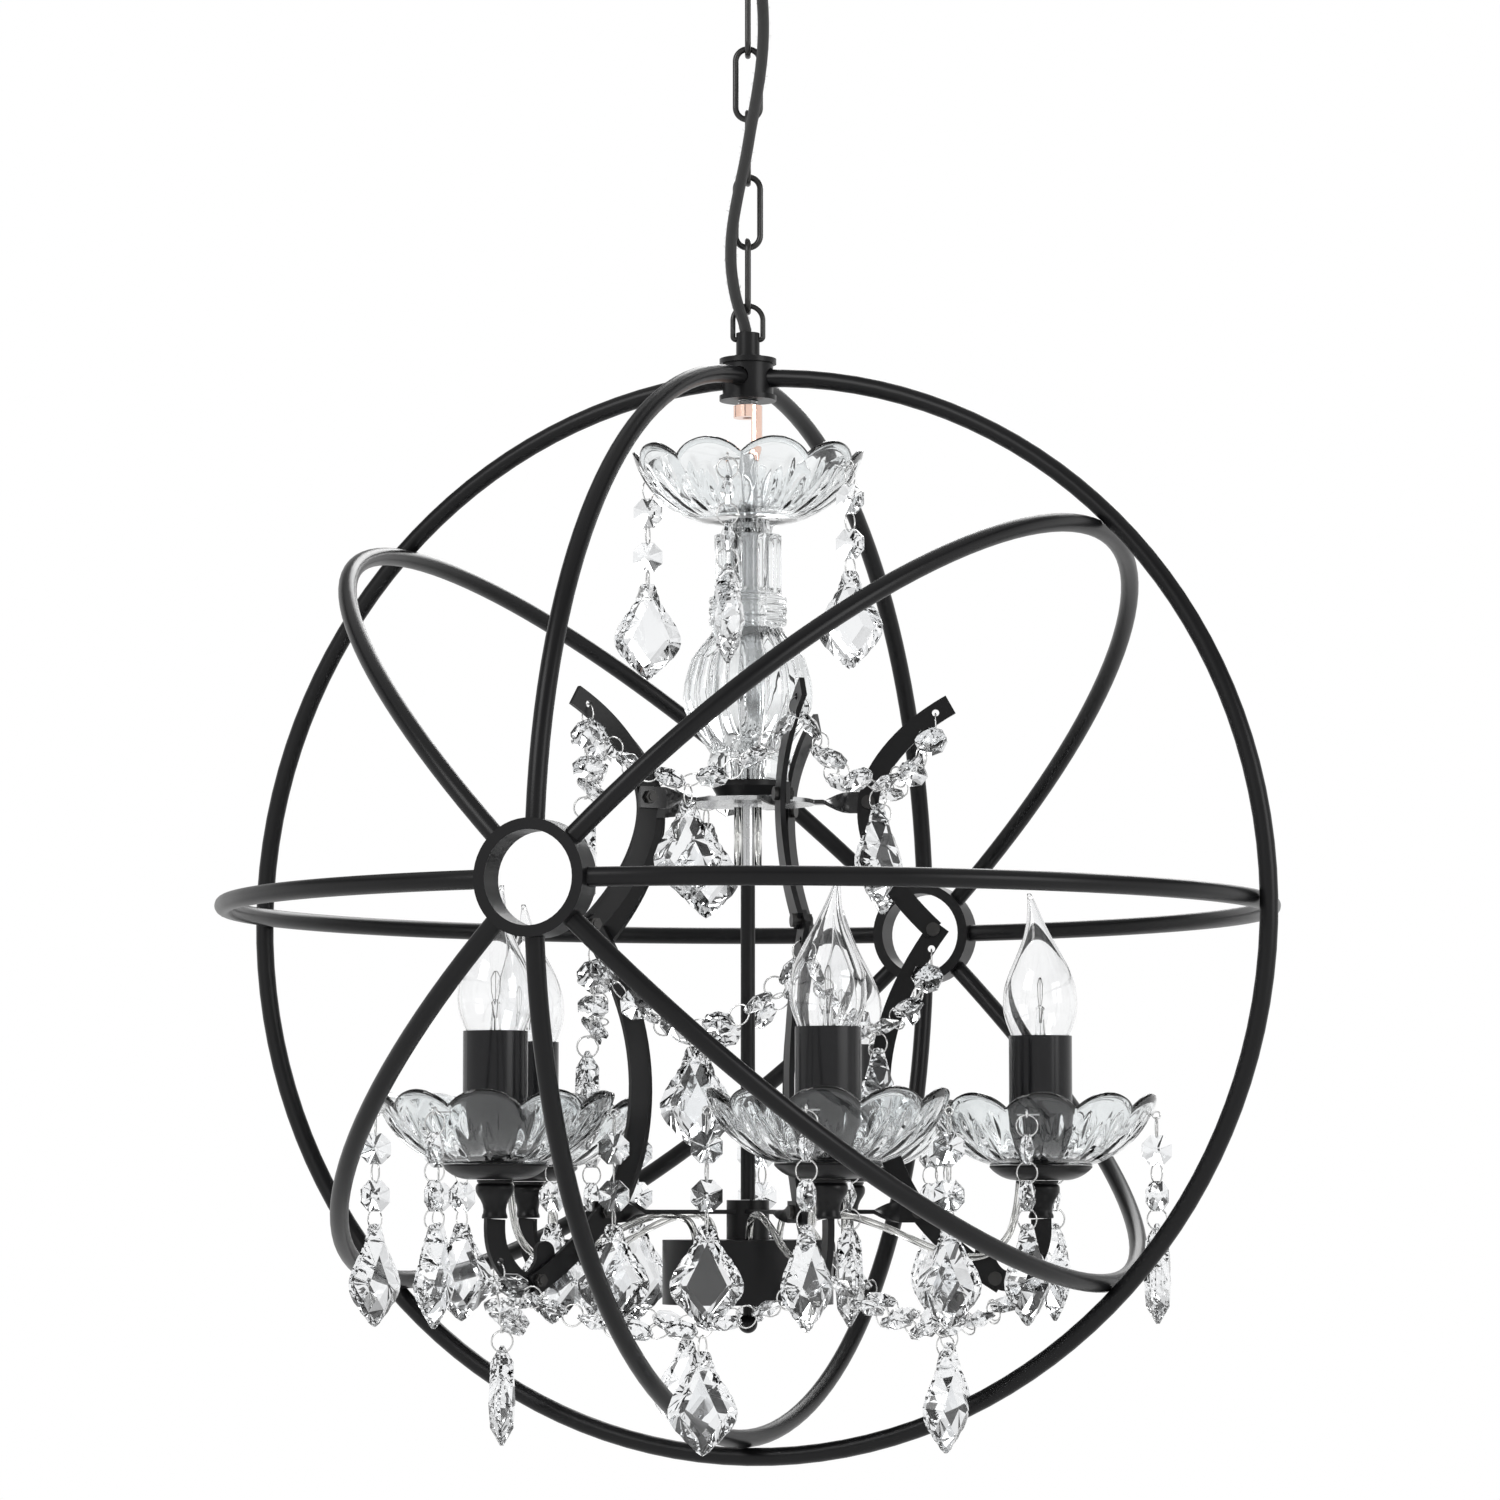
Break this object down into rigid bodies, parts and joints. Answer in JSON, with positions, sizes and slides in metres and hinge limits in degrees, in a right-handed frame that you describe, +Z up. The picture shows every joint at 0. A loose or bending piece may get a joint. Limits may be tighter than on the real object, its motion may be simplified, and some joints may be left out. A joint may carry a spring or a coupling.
{
  "type": "orb chandelier",
  "caption": "Black tubular orb cage around candle lights with cut-glass dishes, crystal garlands and pendants, hung on a short chain from a ceiling canopy.",
  "frame": {"origin": "middle of the ceiling plate's upper face, where the chandelier is screwed to the ceiling", "axes": "+Z up; the orb's hub rings face -Y and +Y; the chandelier hangs towards -Z"},
  "size_m": [0.5158, 0.508, 0.76],
  "materials": {
    "black_frame": "satin powder coat",
    "black_chain": "glossy black wire",
    "dark_screws": "satin",
    "zinc_steel": "bright zinc plate",
    "copper_coupling": "bright copper plate",
    "black_fabric_cord": "woven sleeve",
    "pale_plastic": "smooth",
    "black_sleeve": "glossy",
    "clear_flex": "clear insulation over bright wires",
    "silver_wire": "bright",
    "cut_glass": "clear cut glass",
    "bulb_glass": "thin clear glass",
    "crystal": "polished facets"
  },
  "bodies": {
    "ceiling_mount": {"ceiling_plate": "zinc_steel", "canopy": "black_frame", "canopy_screws": "black_frame", "canopy_loop": "black_frame", "terminal_block": "pale_plastic"},
    "top_link": {"chain_link_top": "black_chain"},
    "chain": {"chain_links": "black_chain", "suspension_ring": "black_chain", "power_cord": "black_fabric_cord"},
    "orb": {"loop_collar": "black_frame", "cage_top_hub": "black_frame", "cage_hoop_upright": "black_frame", "cage_hoop_level": "black_frame", "cage_hoop_rising": "black_frame", "cage_hoop_falling": "black_frame", "cage_ring": "black_frame", "hub_rings": "black_frame", "cage_set_screws": "dark_screws", "threaded_stud": "zinc_steel", "stem_coupling": "copper_coupling", "center_rod": "zinc_steel", "lower_stem": "zinc_steel", "top_dish": "cut_glass", "glass_column": "cut_glass", "column_cup": "black_frame", "upper_spider": "zinc_steel", "upper_scrolls": "black_frame", "lower_scrolls": "black_frame", "scroll_screws": "dark_screws", "lower_hub": "black_frame", "wiring_body": "black_frame", "bottom_finial": "black_frame", "candle_arms": "black_frame", "candle_necks": "black_frame", "drip_pans": "black_frame", "candle_dishes": "cut_glass", "candle_sleeves": "black_sleeve", "lamp_sockets": "pale_plastic", "arm_wires": "clear_flex", "dish_pins": "silver_wire", "garlands_upper": "crystal", "garlands_middle": "crystal", "garlands_lower": "crystal"},
    "bulb_1": {"bulb_1": "bulb_glass"},
    "bulb_2": {"bulb_2": "bulb_glass"},
    "bulb_3": {"bulb_3": "bulb_glass"},
    "bulb_4": {"bulb_4": "bulb_glass"},
    "bulb_5": {"bulb_5": "bulb_glass"},
    "pendants_top_a": {"pendants_top_a": "crystal"},
    "pendants_top_b": {"pendants_top_b": "crystal"},
    "pendants_1_a": {"pendants_1_a": "crystal"},
    "pendants_1_b": {"pendants_1_b": "crystal"},
    "pendants_2_a": {"pendants_2_a": "crystal"},
    "pendants_2_b": {"pendants_2_b": "crystal"},
    "pendants_3_a": {"pendants_3_a": "crystal"},
    "pendants_3_b": {"pendants_3_b": "crystal"},
    "pendants_4_a": {"pendants_4_a": "crystal"},
    "pendants_4_b": {"pendants_4_b": "crystal"},
    "pendants_5_a": {"pendants_5_a": "crystal"},
    "pendants_5_b": {"pendants_5_b": "crystal"}
  },
  "joints": [
    {"name": "top_link_swing", "type": "hinge", "parent": "ceiling_mount", "child": "top_link", "pos_m": [0, 0, -0.06185], "axis": [0.9295, 0.3688, 0], "range_deg": [-10, 10], "deforming": ["power_cord"]},
    {"name": "chain_swing", "type": "hinge", "parent": "top_link", "child": "chain", "pos_m": [0, 0, -0.0927], "axis": [-0.3688, 0.9295, 0], "range_deg": [-10, 10]},
    {"name": "orb_swing", "type": "hinge", "parent": "chain", "child": "orb", "pos_m": [0, 0, -0.2296], "axis": [0.9295, 0.3688, 0], "range_deg": [-10, 10]},
    {"name": "bulb_1_out", "type": "slide", "parent": "orb", "child": "bulb_1", "axis": [0, 0, 1], "range_m": [0, 0.028]},
    {"name": "bulb_2_out", "type": "slide", "parent": "orb", "child": "bulb_2", "axis": [0, 0, 1], "range_m": [0, 0.028]},
    {"name": "bulb_3_out", "type": "slide", "parent": "orb", "child": "bulb_3", "axis": [0, 0, 1], "range_m": [0, 0.028]},
    {"name": "bulb_4_out", "type": "slide", "parent": "orb", "child": "bulb_4", "axis": [0, 0, 1], "range_m": [0, 0.028]},
    {"name": "bulb_5_out", "type": "slide", "parent": "orb", "child": "bulb_5", "axis": [0, 0, 1], "range_m": [0, 0.028]},
    {"name": "pendants_top_a_swing", "type": "hinge", "parent": "orb", "child": "pendants_top_a", "pos_m": [0, 0, -0.2936], "axis": [-0.9938, 0.1108, 0], "range_deg": [-10, 10]},
    {"name": "pendants_top_b_swing", "type": "hinge", "parent": "orb", "child": "pendants_top_b", "pos_m": [0, 0, -0.2936], "axis": [0.2018, -0.9794, 0], "range_deg": [-10, 10]},
    {"name": "pendants_1_a_swing", "type": "hinge", "parent": "orb", "child": "pendants_1_a", "pos_m": [0.08188, -0.10984, -0.5978], "axis": [-0.1857, 0.9826, 0], "range_deg": [-10, 10]},
    {"name": "pendants_1_b_swing", "type": "hinge", "parent": "orb", "child": "pendants_1_b", "pos_m": [0.08188, -0.10984, -0.5978], "axis": [-0.8771, -0.4802, 0], "range_deg": [-10, 10]},
    {"name": "pendants_2_a_swing", "type": "hinge", "parent": "orb", "child": "pendants_2_a", "pos_m": [0.12977, 0.05519, -0.5978], "axis": [-1, 0, 0], "range_deg": [-10, 6]},
    {"name": "pendants_2_b_swing", "type": "hinge", "parent": "orb", "child": "pendants_2_b", "pos_m": [0.12977, 0.04392, -0.5978], "axis": [0.2028, -0.9792, 0], "range_deg": [-10, 10]},
    {"name": "pendants_3_a_swing", "type": "hinge", "parent": "orb", "child": "pendants_3_a", "pos_m": [-0.00167, 0.13699, -0.5978], "axis": [-0.4894, -0.8721, 0], "range_deg": [-9, 10]},
    {"name": "pendants_3_b_swing", "type": "hinge", "parent": "orb", "child": "pendants_3_b", "pos_m": [-0.00167, 0.13699, -0.5978], "axis": [0.9919, -0.1271, 0], "range_deg": [-10, 10]},
    {"name": "pendants_4_a_swing", "type": "hinge", "parent": "orb", "child": "pendants_4_a", "pos_m": [-0.1308, 0.05201, -0.5978], "axis": [1, 0, 0], "range_deg": [-4, 10]},
    {"name": "pendants_4_b_swing", "type": "hinge", "parent": "orb", "child": "pendants_4_b", "pos_m": [-0.1308, 0.04074, -0.5978], "axis": [0.1959, 0.9806, 0], "range_deg": [-10, 10]},
    {"name": "pendants_5_a_swing", "type": "hinge", "parent": "orb", "child": "pendants_5_a", "pos_m": [-0.07917, -0.11181, -0.5978], "axis": [-0.0924, -0.9957, 0], "range_deg": [-9, 10]},
    {"name": "pendants_5_b_swing", "type": "hinge", "parent": "orb", "child": "pendants_5_b", "pos_m": [-0.07917, -0.11181, -0.5978], "axis": [0.8854, 0.4648, 0], "range_deg": [-10, 8]}
  ]
}
